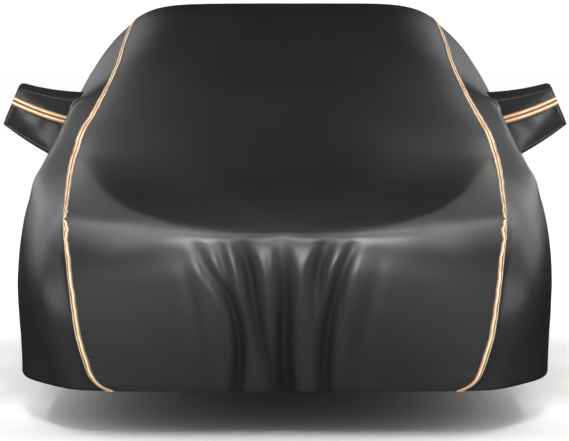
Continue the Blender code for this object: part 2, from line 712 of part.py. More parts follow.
def stripe(face):
    """The tape across a pocket's front face."""
    count = len(POCKET_COLUMNS)
    rails, normals = [], []
    for row in STRIPE_ROWS:
        rail = [face.lines[line][row].copy() for line in range(count)]
        rail[0] = rail[0].lerp(rail[1], STRIPE_END / (rail[1] - rail[0]).length)
        rail[-1] = rail[-1].lerp(rail[-2], STRIPE_END / (rail[-2] - rail[-1]).length)
        rails.append(rail)
        normals.append([face.own_normals[line, row] for line in range(count)])
    return tape_mesh(rails, normals, [LAID_GAP] * count)


def main():
    clear_scene()
    cover = bpy.data.objects.new("car_cover", None)
    bpy.context.scene.collection.objects.link(cover)
    centre = centre_patch()
    sides = {side: side_patch(side) for side in (-1, 1)}
    pockets = {side: pocket_patches(side) for side in (-1, 1)}
    patches = [centre, *sides.values(), *pockets[-1], *pockets[1]]
    for patch in patches:
        patch.weave()
    sewn = sew(patches)
    for side, word in ((-1, "left"), (1, "right")):
        finish("seam_tape_" + word, seam_tape(side, centre, sides[side], sewn), "tape", cover)
        finish("mirror_tape_" + word, stripe(pockets[side][0]), "tape", cover)
    for patch in patches:
        thicken(patch, sewn)
        finish(patch.name, patch.mesh, patch.kind, cover)


main()
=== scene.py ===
"""A fitted car cover in dark coated cloth, seen from the front on a pale floor.

The cover has a long centre panel, two side panels, boxed mirror pockets, and woven
reflective tapes over the long seams and across the pockets. Metres, +Z up; the front
faces -Y. The tables speak of "out" from the middle plane, "back" behind the nose and
"up" above the ground, as the pattern cutter's sizes do.
"""

from math import cos, pi, radians, sin

import bpy
import numpy as np
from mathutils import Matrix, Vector


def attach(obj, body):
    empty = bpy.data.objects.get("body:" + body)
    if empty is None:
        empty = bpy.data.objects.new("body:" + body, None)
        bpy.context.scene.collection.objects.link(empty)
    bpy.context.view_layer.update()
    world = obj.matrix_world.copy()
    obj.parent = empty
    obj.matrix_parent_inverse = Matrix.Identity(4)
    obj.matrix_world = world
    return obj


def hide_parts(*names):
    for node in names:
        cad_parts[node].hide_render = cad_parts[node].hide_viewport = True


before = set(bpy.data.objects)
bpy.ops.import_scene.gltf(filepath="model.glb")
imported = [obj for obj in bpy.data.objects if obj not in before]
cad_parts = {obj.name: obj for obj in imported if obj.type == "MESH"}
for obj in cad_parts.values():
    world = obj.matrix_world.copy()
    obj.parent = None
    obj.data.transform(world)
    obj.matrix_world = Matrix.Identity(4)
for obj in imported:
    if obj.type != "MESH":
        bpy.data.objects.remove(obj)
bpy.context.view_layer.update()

# ---- sizes of the cover

ROOF_UP = 1.456  # top of the roof above the ground
CLOTH = 0.0024  # thickness of the cloth
CROWN_BACK = 2.70  # the roof's crown behind the nose
GROUND_Z = CLOTH - ROOF_UP

# Centre panel, front hem to rear hem: middle line (back, up), seam (out, back, up),
# how late a section bends backwards and how late it turns down towards the seam.
SECTIONS = np.array((
    (0.055, 0.150, 0.567, 0.060, 0.150, 2.2, 2.0),  # 0 front hem
    (0.050, 0.176, 0.612, 0.060, 0.172, 2.2, 2.0),
    (0.045, 0.218, 0.641, 0.065, 0.212, 2.2, 2.0),
    (0.036, 0.320, 0.675, 0.080, 0.320, 2.2, 2.0),
    (0.032, 0.430, 0.697, 0.110, 0.440, 2.2, 2.0),  # 4 bumper
    (0.038, 0.540, 0.714, 0.165, 0.555, 2.2, 2.0),
    (0.066, 0.625, 0.728, 0.260, 0.645, 2.2, 2.0),
    (0.105, 0.668, 0.737, 0.350, 0.700, 2.2, 1.0),  # 7 front ridge
    (0.200, 0.702, 0.742, 0.520, 0.738, 2.2, 2.6),
    (0.360, 0.738, 0.746, 0.700, 0.775, 2.4, 5.0),
    (0.580, 0.783, 0.752, 0.900, 0.815, 2.6, 8.0),  # 10 bonnet
    (0.820, 0.835, 0.756, 1.080, 0.850, 2.6, 9.0),
    (1.080, 0.905, 0.754, 1.220, 0.886, 2.4, 6.0),
    (1.320, 1.000, 0.738, 1.360, 0.960, 2.2, 4.5),  # 13 windscreen foot
    (1.550, 1.110, 0.705, 1.520, 1.030, 2.0, 4.0),
    (1.780, 1.222, 0.668, 1.720, 1.118, 2.0, 4.0),
    (2.000, 1.325, 0.635, 1.930, 1.212, 2.0, 4.5),
    (2.220, 1.403, 0.619, 2.180, 1.300, 2.0, 5.5),
    (2.440, 1.446, 0.604, 2.430, 1.366, 2.0, 7.0),  # 18 roof front
    (2.700, 1.456, 0.596, 2.690, 1.394, 2.0, 8.0),  # 19 crown
    (2.980, 1.452, 0.595, 2.970, 1.390, 2.0, 8.0),
    (3.260, 1.426, 0.600, 3.240, 1.358, 2.0, 6.0),  # 21 roof rear
    (3.500, 1.362, 0.612, 3.460, 1.288, 2.0, 5.0),
    (3.740, 1.262, 0.636, 3.690, 1.180, 2.0, 4.5),  # 23 rear glass
    (3.960, 1.160, 0.668, 3.910, 1.072, 2.0, 4.5),
    (4.170, 1.088, 0.698, 4.110, 0.988, 2.0, 5.0),  # 25 boot
    (4.370, 1.050, 0.716, 4.290, 0.930, 2.2, 5.0),
    (4.520, 0.995, 0.724, 4.420, 0.870, 2.4, 3.0),  # 27 rear ridge
    (4.580, 0.890, 0.724, 4.470, 0.780, 2.4, 2.0),
    (4.598, 0.740, 0.720, 4.495, 0.660, 2.4, 2.0),
    (4.600, 0.580, 0.712, 4.505, 0.520, 2.4, 2.0),
    (4.592, 0.410, 0.698, 4.500, 0.370, 2.4, 2.0),
    (4.578, 0.265, 0.668, 4.490, 0.245, 2.4, 2.0),
    (4.566, 0.190, 0.632, 4.480, 0.182, 2.4, 2.0),
    (4.560, 0.150, 0.585, 4.475, 0.150, 2.4, 2.0),  # 34 rear hem
))
FRONT_RIDGE = 7
REAR_RIDGE = 27
LAST_SECTION = len(SECTIONS) - 1

# Side panel: the section it leaves the seam at, then out and back at the hem, and out,
# back and up at the belly, the shoulder and the cabin line.
SIDE_SECTIONS = np.array((
    (7.0, 0.567, 0.060, 0.705, 0.130, 0.500, 0.728, 0.260, 0.645, 0.733, 0.310, 0.676),
    (8.0, 0.690, 0.125, 0.805, 0.240, 0.440, 0.792, 0.370, 0.628, 0.768, 0.455, 0.696),
    (9.0, 0.785, 0.300, 0.872, 0.420, 0.450, 0.850, 0.555, 0.668, 0.806, 0.640, 0.742),
    (10.0, 0.870, 0.530, 0.915, 0.660, 0.470, 0.888, 0.780, 0.700, 0.834, 0.860, 0.788),
    (11.0, 0.912, 0.800, 0.927, 0.890, 0.500, 0.897, 0.980, 0.745, 0.852, 1.050, 0.834),
    (12.0, 0.920, 1.030, 0.928, 1.080, 0.500, 0.888, 1.150, 0.790, 0.838, 1.200, 0.878),
    (13.0, 0.922, 1.190, 0.928, 1.220, 0.500, 0.870, 1.280, 0.842, 0.808, 1.350, 0.952),
    (15.0, 0.923, 1.430, 0.928, 1.440, 0.500, 0.856, 1.470, 0.882, 0.764, 1.640, 1.082),
    (16.0, 0.924, 1.630, 0.929, 1.640, 0.500, 0.858, 1.680, 0.892, 0.758, 1.850, 1.108),
    (18.0, 0.924, 2.150, 0.930, 2.150, 0.520, 0.864, 2.180, 0.930, 0.706, 2.340, 1.258),
    (20.0, 0.924, 2.850, 0.930, 2.850, 0.520, 0.864, 2.870, 0.940, 0.700, 2.930, 1.275),
    (22.0, 0.920, 3.400, 0.925, 3.400, 0.520, 0.856, 3.410, 0.930, 0.716, 3.440, 1.185),
    (24.0, 0.914, 3.850, 0.916, 3.850, 0.510, 0.850, 3.860, 0.875, 0.758, 3.890, 1.005),
    (25.5, 0.892, 4.150, 0.896, 4.150, 0.500, 0.842, 4.150, 0.800, 0.780, 4.180, 0.905),
    (26.4, 0.815, 4.350, 0.836, 4.335, 0.470, 0.800, 4.345, 0.740, 0.766, 4.355, 0.852),
    (27.0, 0.585, 4.475, 0.710, 4.500, 0.500, 0.722, 4.480, 0.760, 0.724, 4.440, 0.830),
))
HEM_UP = 0.150
SIDE_KNOTS = (0.0, 0.34, 0.66, 0.88, 1.0)  # hem, belly, shoulder, cabin, seam
SHOULDER_RISE, CABIN_RISE = 0.66, 0.88
SEAM_MATCH = 1.2  # sections over which a side takes up the upright seam's run
# Heights on the side that meet the sections of the upright seam, counted from the hem
MATCH_RISES = (0.0, 0.06, 0.16, 0.28, 0.41, 0.54, 0.66, 0.7084, 0.7634, 0.7964, 0.88, 1.0)
MATCH_SECTIONS = (0, 1, 2, 3, 3.5, 4, 4.5, 5, 5.5, 6, 6.5, 7)

# Mirror pockets
POCKET_SECTIONS = (15.0, 16.0)
POCKET_SHARES = (0.0, 0.38, 0.53, 0.78, 1.0)  # places down the pocket's outer edge
POCKET_FRONT_EDGE = np.array((
    (0.982, 1.560, 1.128),
    (0.994, 1.545, 1.096),
    (1.006, 1.532, 1.064),
    (1.024, 1.515, 1.020),
    (1.033, 1.510, 0.994),
))
POCKET_BACK_SHIFT = np.array((-0.008, 0.200, 0.014))
POCKET_PINCH = 0.020  # how far a side is drawn in between a pocket's edges
PINCH_REACH = 1.3  # and over how many sections
POCKET_SAG = 0.006
POCKET_BULGE = 0.013
BAND_BULGE = 0.006
BAND_WIDE = 0.200
STRIPE_SHARES = (0.38, 0.53)
ROLL_BEFORE = 0.050  # the soft roll's middle in front of a pocket's mouth, in sections
ROLL_HEIGHT = 0.012
ROLL_DIP = 0.006

# Hanging folds of the front: half width, then place and depth at each of these heights
FOLD_UP = (0.660, 0.550, 0.440, 0.320, 0.150)
FOLDS = (
    (0.022, (-0.355, -0.325, -0.300, -0.277, -0.262), (0.0, 0.0012, 0.0040, 0.004, 0.003)),
    (0.023, (-0.318, -0.250, -0.175, -0.149, -0.155), (0.001, 0.008, 0.019, 0.027, 0.024)),
    (0.018, (-0.225, -0.195, -0.172, -0.160, -0.160), (0.001, 0.009, 0.005, 0.000, 0.000)),
    (0.025, (-0.156, -0.118, -0.100, -0.078, -0.036), (0.006, 0.026, 0.025, 0.021, 0.016)),
    (0.028, (-0.014, -0.005, 0.000, -0.003, 0.006), (0.001, 0.017, 0.030, 0.036, 0.040)),
    (0.026, (0.147, 0.109, 0.103, 0.105, 0.108), (0.006, 0.022, 0.012, 0.007, 0.007)),
    (0.023, (0.243, 0.188, 0.157, 0.137, 0.133), (0.001, 0.014, 0.025, 0.027, 0.020)),
    (0.026, (0.345, 0.303, 0.274, 0.245, 0.212), (0.0, 0.0012, 0.0040, 0.006, 0.005)),
)
FOLD_SHOULDER = 0.06  # the rise beside a fold, as a share of its depth
SHOULDER_AWAY = 2.0  # and its place, in half widths from the fold
FOLD_CLOSE = 0.030  # height over which the folds begin under the front ridge
FOLD_SHADE_DEPTH = 0.020  # a fold this deep gets the darkest painted shade

# Woven tapes
TAPE_WIDTH = 0.033
TAPE_LIFT = 0.0016  # the seam tape above the seam
STRIPE_LIFT = 0.0032  # a pocket's stripe above its face
RAISED_LINE = 0.0008  # and their reflective lines above the tape
TAPE_PLACES = np.linspace(-TAPE_WIDTH / 2, TAPE_WIDTH / 2, 21)
TAPE_STEP = 0.006
LINE_PLACE = 0.0062  # the tape's two reflective lines beside its middle
# Where the tape was eased round the bonnet's corner: place along it, push to the side
TAPE_KINKS = (
    (0.50, -0.0022), (0.585, 0.0050), (0.640, -0.0055),
    (0.700, 0.0055), (0.790, -0.0060), (0.860, 0.0035),
)

# Stitches
STITCH_PITCH = 0.0065
STITCH_LONG = 0.0042
STITCH_THICK = 0.0016

# How closely the centre panel is drawn lengthwise: sections from and to, the place
# across where the step is measured, step
CENTRE_RUNS = (
    (0.0, FRONT_RIDGE, 0.5, 0.006),
    (FRONT_RIDGE, 8.0, 0.0, 0.005),
    (8.0, 9.0, 0.0, 0.010),
    (9.0, REAR_RIDGE, 0.0, 0.026),
    (REAR_RIDGE, LAST_SECTION, 0.0, 0.018),
)
# The same for a side panel at its middle, closer together round the pocket
SIDE_RUNS = (
    (FRONT_RIDGE, 8.0, 0.012), (8.0, 14.5, 0.018), (14.5, 15.0, 0.007),
    (15.0, 16.0, 0.012), (16.0, 16.5, 0.010), (16.5, REAR_RIDGE, 0.026),
)
# Across the centre panel: end of the folded middle and start of the strip by the seam
FOLDED_END, SEAM_STRIP = 0.60, 0.955
FOLD_COLUMNS, OUTER_COLUMNS, SEAM_COLUMNS = 68, 20, 8
# Inner cells up a side panel; the outer layer has two for each of them
LOWER_CELLS, WINDOW_CELLS, UPPER_CELLS = 28, 16, 8
POCKET_ACROSS = 48  # from the side panel to the tip
POCKET_DOWN = 40
POCKET_SPOT = (20, 20)  # a cell well inside a pocket's face
BAND_ACROSS = 24

# The bonnet's flat middle meets its rounder corners on this line: back, out
CORNER_EDGE = np.array((
    (0.10, 0.10), (0.15, 0.26), (0.29, 0.45), (0.52, 0.575), (0.86, 0.665), (1.16, 0.735),
))
CORNER_SLOPE = 0.10
CORNER_ROUND = 0.030  # how softly the slope begins
BEAD_HEIGHT = 0.0022  # the narrow bead along the front ridge
BEAD_REACH = 0.16  # in sections

# Finer creases of the front: half width, places out at these heights, depth
CREASES = (
    (0.009, (-0.285, -0.262, -0.240), (0.600, 0.540, 0.470), 0.0012),
    (0.009, (-0.060, -0.052, -0.045, -0.040), (0.620, 0.540, 0.400, 0.280), 0.0014),
    (0.008, (0.216, 0.196, 0.190, 0.186), (0.620, 0.560, 0.430, 0.250), 0.0014),
    (0.012, (-0.210, -0.205, -0.198), (0.430, 0.300, 0.200), 0.0040),
    (0.012, (0.060, 0.064, 0.068), (0.380, 0.270, 0.180), 0.0035),
)


# ---- curves and noise

RIPPLE_WAVES = 14
UNREST_WAVES = 18
UNREST_PEAK = 1.6  # brings the sum of the waves to about -1 to 1


def through(places, values, at):
    """Smooth curves through values at rising places, read at many places at once."""
    places = np.asarray(places, float)
    values = np.asarray(values, float)
    flat = values.reshape(len(places), -1)
    steps = np.diff(places)[:, None]
    rises = np.diff(flat, axis=0) / steps
    slopes = np.empty_like(flat)
    slopes[0], slopes[-1] = rises[0], rises[-1]
    slopes[1:-1] = (rises[:-1] * steps[1:] + rises[1:] * steps[:-1]) / (steps[1:] + steps[:-1])
    at = np.asarray(at, float)
    spots = at.reshape(-1)
    low = np.clip(np.searchsorted(places, spots, side="left") - 1, 0, len(places) - 2)
    high = low + 1
    run = steps[low]
    share = ((spots - places[low]) / run[:, 0])[:, None]
    square, cube = share ** 2, share ** 3
    found = (
        flat[low] * (2 * cube - 3 * square + 1) + slopes[low] * (cube - 2 * square + share) * run
        + flat[high] * (3 * square - 2 * cube) + slopes[high] * (cube - square) * run
    )
    return found.reshape(at.shape + values.shape[1:])


def ease(low, high, value):
    """0 at low and beyond it, 1 at high and beyond it; low may be the larger of the two."""
    share = np.clip((value - low) / (high - low), 0.0, 1.0)
    return share * share * (3.0 - 2.0 * share)


def bell(away, reach):
    """1 where away is 0, falling off smoothly on both sides."""
    return np.exp(-(away / reach) ** 2)


def unit(vectors):
    return vectors / np.maximum(np.linalg.norm(vectors, axis=-1, keepdims=True), 1e-12)


def ripple(seed, where, longest, shortest):
    """Even, seeded unrest along a line, about -1 to 1, with waves between two lengths."""
    rng = np.random.default_rng(seed)
    waves = np.exp(rng.uniform(np.log(shortest), np.log(longest), RIPPLE_WAVES))
    phases = rng.uniform(0.0, 2.0 * pi, RIPPLE_WAVES)
    weights = rng.uniform(0.5, 1.0, RIPPLE_WAVES)
    total = 0.0
    for weight, wave, phase in zip(weights, waves, phases):
        total = total + weight * np.sin(2.0 * pi * where / wave + phase)
    return total / np.sqrt((weights ** 2).sum())


def unrest(seed, along, across, longest, shortest):
    """The same over a surface, for places along and across it in metres."""
    rng = np.random.default_rng(seed)
    total = 0.0
    for _ in range(UNREST_WAVES):
        turn = rng.uniform(0.0, pi)
        wave = np.exp(rng.uniform(np.log(shortest), np.log(longest)))
        phase = rng.uniform(0.0, 2.0 * pi)
        total = total + np.sin(2.0 * pi * (along * cos(turn) + across * sin(turn)) / wave + phase)
    return total / np.sqrt(UNREST_WAVES / 2.0) / UNREST_PEAK


def on_ground(points):
    """From the tables' out, back and up to the cover's own frame."""
    return points + np.array((0.0, -CROWN_BACK, GROUND_Z))


# ---- the cover's surfaces

def section_line(index, across):
    """One section of the centre panel; across is -1 at the left seam, 1 at the right."""
    mid_back, mid_up, seam_out, seam_back, seam_up, sweep, shoulder = SECTIONS[index]
    reach = np.abs(across)
    back = mid_back + (seam_back - mid_back) * reach ** sweep
    if FRONT_RIDGE <= index <= REAR_RIDGE:
        line_back, line_up = SECTIONS[FRONT_RIDGE:REAR_RIDGE + 1, :2].T
        drop = through(line_back, line_up, seam_back) - seam_up
        up = through(line_back, line_up, back) - drop * reach ** shoulder
    else:
        up = mid_up + (seam_up - mid_up) * reach ** shoulder
    return np.stack([seam_out * across, back, up], axis=-1)


def fold_push(out, up):
    """How far the front's folds lie behind its smooth surface."""
    heights = FOLD_UP[::-1]
    level = np.clip(up, heights[0], heights[-1])
    push = np.zeros_like(out)
    for half_width, outs, depths in FOLDS:
        depth = through(heights, depths[::-1], level)
        away = (out - through(heights, outs[::-1], level)) / half_width
        sides = np.exp(-(away - SHOULDER_AWAY) ** 2) + np.exp(-(away + SHOULDER_AWAY) ** 2)
        push += depth * (np.exp(-away ** 2) - FOLD_SHOULDER * sides)
    return push * np.clip((FOLD_UP[0] - up) / FOLD_CLOSE, 0.0, 1.0)


def centre_surface(sections, across):
    """The centre panel at every section and place across: sections x across x 3."""
    sections, across = np.asarray(sections, float), np.asarray(across, float)
    lines = np.stack([section_line(index, across) for index in range(LAST_SECTION + 1)])
    points = through(np.arange(LAST_SECTION + 1), lines, sections)
    front = (sections < FRONT_RIDGE).astype(float)[:, None]
    points[..., 1] += front * fold_push(points[..., 0], points[..., 2])
    return points


def seam_line(sections):
    return centre_surface(sections, [1.0])[:, 0]


def upright_seam(rises, ridge):
    """The seam below a ridge, beside places on the side panel."""
    section = through(MATCH_RISES, MATCH_SECTIONS, rises)
    return seam_line(section if ridge == FRONT_RIDGE else LAST_SECTION - section)


def side_knots(sections):
    """Hem, belly, shoulder, cabin and seam points of the right side: sections x 5 x 3."""
    row = through(SIDE_SECTIONS[:, 0], SIDE_SECTIONS[:, 1:], sections)
    hem = np.stack([row[:, 0], row[:, 1], np.full(len(row), HEM_UP)], axis=-1)
    return np.stack([hem, row[:, 2:5], row[:, 5:8], row[:, 8:11], seam_line(sections)], axis=1)


def side_surface(sections, rises):
    """The right side panel: sections x rises x 3; rise is 0 at the hem, 1 at the seam."""
    sections, rises = np.asarray(sections, float), np.asarray(rises, float)
    knots = side_knots(sections)
    points = through(SIDE_KNOTS, np.swapaxes(knots, 0, 1), rises)
    points = np.swapaxes(points, 0, 1).copy()
    for ridge in (FRONT_RIDGE, REAR_RIDGE):
        fade = np.clip(1.0 - np.abs(sections - ridge) / SEAM_MATCH, 0.0, None) ** 2
        smooth = through(SIDE_KNOTS, side_knots(np.array([float(ridge)]))[0], rises)
        points += (upright_seam(rises, ridge) - smooth)[None] * fade[:, None, None]
    away = (sections - sum(POCKET_SECTIONS) / 2) / PINCH_REACH
    share = np.clip((rises - SHOULDER_RISE) / (CABIN_RISE - SHOULDER_RISE), 0.0, 1.0)
    points[..., 0] -= POCKET_PINCH * np.exp(-away ** 2)[:, None] * np.sin(pi * share) ** 2
    return points


# ---- making meshes

def grid_normals(points):
    return unit(np.cross(np.gradient(points, axis=0), np.gradient(points, axis=1)))


def normals_of(points, spot, axis, sign):
    """Normals of a grid of points, turned so that the one at spot looks along an axis."""
    found = grid_normals(points)
    return -found if found[spot][axis] * sign < 0.0 else found


def cell_turn(points, row=0, column=0):
    """The direction behind a cell's face, when its points run as in cells()."""
    corner = points[row, column]
    return np.cross(points[row + 1, column] - corner, points[row, column + 1] - corner)


def cells(index):
    """The four points of each cell in a grid of point numbers."""
    return np.stack([index[:-1, :-1], index[:-1, 1:], index[1:, 1:], index[1:, :-1]], axis=-1)


def cloth_faces(rows, columns, flip, left_out=None):
    """Faces of a sheet with two layers and a rim; the inner layer is half as fine.

    The outer layer's points come first, then the inner ones at every other row and column.
    """
    outer = np.arange(rows * columns).reshape(rows, columns)
    inner = outer.size + np.arange(outer[::2, ::2].size).reshape(outer[::2, ::2].shape)
    kept = np.ones((inner.shape[0] - 1, inner.shape[1] - 1), bool)
    if left_out is not None:
        kept &= ~left_out
    fine = np.repeat(np.repeat(kept, 2, axis=0), 2, axis=1)
    faces = cells(outer)[fine].tolist() + cells(inner)[kept][:, ::-1].tolist()
    wide = np.pad(kept, 1)
    # The rim, on each of a cell's four sides: axis, direction, and the side's two corners
    rims = (
        (0, -1, (0, 0), (0, 1)),
        (0, 1, (1, 1), (1, 0)),
        (1, -1, (1, 0), (0, 0)),
        (1, 1, (0, 1), (1, 1)),
    )
    for axis, sign, first, second in rims:
        beyond = np.roll(wide, -sign, axis=axis)[1:-1, 1:-1]
        for row, column in np.argwhere(kept & ~beyond):
            start = (row + first[0], column + first[1])
            end = (row + second[0], column + second[1])
            middle = outer[start[0] + end[0], start[1] + end[1]]
            outer_start = outer[2 * start[0], 2 * start[1]]
            outer_end = outer[2 * end[0], 2 * end[1]]
            face = (outer_start, inner[start], inner[end], outer_end, middle)
            faces.append([int(number) for number in face])
    return [face[::-1] for face in faces] if flip else faces


def both_layers(grid):
    """Point values of the outer layer followed by those of the inner one."""
    grid = np.asarray(grid, float)
    outer = grid.reshape(-1, *grid.shape[2:])
    inner = grid[::2, ::2].reshape(-1, *grid.shape[2:])
    return np.concatenate([outer, inner])


def make_cloth(name, points, outward, finish, across, along, left_out=None, numbers=None):
    """A cloth piece from a grid of points and the grid of its outward normals.

    across and along are the places of its points on the flat cloth, in metres.
    """
    inner = points[::2, ::2] - outward[::2, ::2] * CLOTH
    joined = np.concatenate([points.reshape(-1, 3), inner.reshape(-1, 3)])
    flip = np.dot(cell_turn(points), outward[0, 0]) > 0.0
    faces = cloth_faces(*points.shape[:2], flip, left_out)
    cut = both_layers(np.stack([across, along], axis=-1))
    numbers = {key: both_layers(value) for key, value in (numbers or {}).items()}
    return make_piece(name, on_ground(joined), faces, finish, cut, numbers)


def make_ribbon(name, grid, flip, finish, across, along):
    """A tape piece from a grid of points, one layer thick."""
    index = np.arange(grid.shape[0] * grid.shape[1]).reshape(grid.shape[:2])
    quads = cells(index).reshape(-1, 4)
    faces = (quads[:, ::-1] if flip else quads).tolist()
    cut = np.stack(np.broadcast_arrays(across[None], along[:, None]), axis=-1)
    return make_piece(name, on_ground(grid), faces, finish, cut)


def make_piece(name, points, faces, finish, cut=None, numbers=None):
    """A smooth mesh object; cut (places on the flat cloth) and numbers go point by point."""
    mesh = bpy.data.meshes.new(name)
    flat = np.asarray(points, float).reshape(-1, 3)
    mesh.from_pydata(flat.tolist(), [], faces)
    mesh.shade_smooth()
    if cut is not None:
        layer = mesh.uv_layers.new(name="cut")
        corner = np.empty(len(mesh.loops), np.int32)
        mesh.loops.foreach_get("vertex_index", corner)
        layer.data.foreach_set("uv", np.asarray(cut, np.float32).reshape(-1, 2)[corner].ravel())
    for key, values in (numbers or {}).items():
        attribute = mesh.attributes.new(key, "FLOAT", "POINT")
        attribute.data.foreach_set("value", np.asarray(values, np.float32).ravel())
    mesh.materials.append(finish)
    return add_object(name, mesh)


def add_object(name, data):
    made = bpy.data.objects.new(name, data)
    bpy.context.scene.collection.objects.link(made)
    return made


def arc(points):
    """Distance along a line of points."""
    return np.concatenate([[0.0], np.cumsum(np.linalg.norm(np.diff(points, axis=0), axis=1))])


def spaced(low, high, line, step):
    """Places from low to high that lie about a step apart on a line."""
    places = np.linspace(low, high, 2000)
    run = arc(line(places))
    count = max(2, int(round(run[-1] / step)))
    return np.interp(np.linspace(0.0, run[-1], count + 1), run, places)


def even(places):
    """The same run of places with an odd count, so that every other one has both ends."""
    if len(places) % 2 == 0:
        places = np.insert(places, 1, (places[0] + places[1]) / 2)
    return places


def end_to_end(runs):
    """Runs of places that follow each other as one run, with each shared end once."""
    return np.concatenate([runs[0]] + [run[1:] for run in runs[1:]])


# ---- finishes

class Signal:
    """A value or colour in a finish; sums and products of signals become nodes."""

    def __init__(self, finish, socket):
        self.finish = finish
        self.socket = socket

    def __add__(self, other):
        return self.finish.maths("ADD", self, other)

    def __sub__(self, other):
        return self.finish.maths("SUBTRACT", self, other)

    def __mul__(self, other):
        return self.finish.maths("MULTIPLY", self, other)


class Finish:
    """A material that is written as sums and products of signals."""

    def __init__(self, name, **settings):
        self.data = bpy.data.materials.new(name)
        self.data.use_nodes = True
        self.tree = self.data.node_tree
        self.shader = self.tree.nodes["Principled BSDF"]
        self.set(**settings)

    def node(self, kind, settings=None, inputs=None, output=0):
        made = self.tree.nodes.new(kind)
        for key, value in (settings or {}).items():
            setattr(made, key, value)
        for key, value in (inputs or {}).items():
            self.feed(made.inputs[key], value)
        return Signal(self, made.outputs[output])

    def feed(self, socket, value):
        if isinstance(value, Signal):
            self.tree.links.new(value.socket, socket)
        else:
            socket.default_value = value

    def maths(self, kind, *values):
        return self.node("ShaderNodeMath", {"operation": kind}, dict(enumerate(values)))

    def wave(self, value, length):
        """A sine wave with a length in metres."""
        return self.maths("SINE", value * (2 * pi / length))

    def place(self):
        """The place in space, in metres."""
        return self.node("ShaderNodeTexCoord", output=3)

    def cut(self):
        """The place on the flat cloth, in metres: across, along."""
        return self.node("ShaderNodeUVMap", {"uv_map": "cut"})

    def number(self, name):
        return self.node("ShaderNodeAttribute", {"attribute_name": name}, output=2)

    def noise(self, vector, scale, detail=2.0, rough=0.5, smear=0.0):
        return self.node("ShaderNodeTexNoise", inputs={
            "Vector": vector, "Scale": scale, "Detail": detail, "Roughness": rough,
            "Distortion": smear,
        })

    def fit(self, value, low, high, to_low=0.0, to_high=1.0):
        return self.node("ShaderNodeMapRange", {"clamp": True}, {
            "Value": value, "From Min": low, "From Max": high, "To Min": to_low, "To Max": to_high,
        })

    def blend(self, share, first, second):
        return self.node("ShaderNodeMix", {"data_type": "RGBA"}, {
            0: share, 6: first, 7: second,
        }, output=2)

    def split(self, vector, part):
        return self.node("ShaderNodeSeparateXYZ", inputs={0: vector}, output=part)

    def bump(self, height, distance, strength, under=None):
        inputs = {"Height": height, "Distance": distance, "Strength": strength}
        if under is not None:
            inputs["Normal"] = under
        return self.node("ShaderNodeBump", inputs=inputs)

    def set(self, **signals):
        for key, value in signals.items():
            self.feed(self.shader.inputs[key.replace("_", " ")], value)


def grey(value, warm=0.0):
    return (value * (1.0 + warm), value, value * (1.0 - warm), 1.0)


CLOTH_DARK = grey(0.0185, -0.015)
CLOTH_LIGHT = grey(0.0245, -0.01)
# painted sheen: lighter colour standing in for light caught where the cloth is drawn over the
# bonnet's corners and the fenders
CLOTH_PAINTED_SHEEN = grey(0.052)
# painted shade: near-black colour for the deepest fold valleys
CLOTH_PAINTED_FOLD_SHADE = grey(0.0050)
CLOTH_GLOSS = (0.33, 0.43)  # roughness where the coating is smoothest and dullest
THREAD_PITCH = 0.0016  # length of the weave's waves
GOLD = (0.20, 0.085, 0.030, 1.0), (0.33, 0.16, 0.062, 1.0)
CREAM = (0.58, 0.45, 0.28, 1.0), (0.86, 0.74, 0.52, 1.0)
BROWN = (0.075, 0.030, 0.012, 1.0)
TAPE_EDGE = (0.026, 0.011, 0.005, 1.0)
TAPE_STITCH_PITCH = 0.0070
TAPE_RIB_PITCH = 0.0030
NOISE_MIDST = (0.3, 0.7)  # nearly all of a noise's values lie between these


def cover_cloth():
    """Dark coated weave, a little uneven in tone and gloss, with painted shade darkening its fold
    valleys and a painted sheen lightening the bonnet's corners and the fenders.
    """
    finish = Finish("cover_cloth", Metallic=0.0, IOR=1.45)
    cut = finish.cut()
    place = finish.place()
    cloudy = finish.noise(place, scale=2.2, detail=3.0, rough=0.55)
    flecks = finish.noise(cut, scale=260.0, rough=0.6)
    tone = finish.fit(cloudy * 0.75 + flecks * 0.25, *NOISE_MIDST)
    fold_shade = finish.number("fold_shade")
    wear_and_sheen = finish.blend(tone, CLOTH_DARK, CLOTH_LIGHT)
    # painted sheen: lighter colour blended in over the bonnet's corners and the fenders
    wear_and_sheen = finish.blend(finish.number("painted_sheen"), wear_and_sheen, CLOTH_PAINTED_SHEEN)
    # painted shade: the colour darkens towards near-black in the deeper fold valleys
    finish.set(Base_Color=finish.blend(fold_shade * 0.75, wear_and_sheen, CLOTH_PAINTED_FOLD_SHADE))
    gloss = finish.fit(cloudy * 0.6 + flecks * 0.4, *NOISE_MIDST, *CLOTH_GLOSS)
    finish.set(Roughness=gloss + fold_shade * 0.35)
    warp = finish.wave(finish.split(cut, 0), THREAD_PITCH)
    weft = finish.wave(finish.split(cut, 1), THREAD_PITCH)
    weave = finish.bump(warp * weft * 0.5 + 0.5, distance=0.00012, strength=0.35)
    rumple = finish.noise(cut, scale=26.0, detail=4.0, rough=0.55, smear=0.4)
    soft = finish.noise(cut, scale=7.0, detail=3.0, smear=0.3)
    creased = finish.bump(rumple * 0.35 + soft, distance=0.0010, strength=0.6, under=weave)
    finish.set(Normal=creased)
    return finish.data


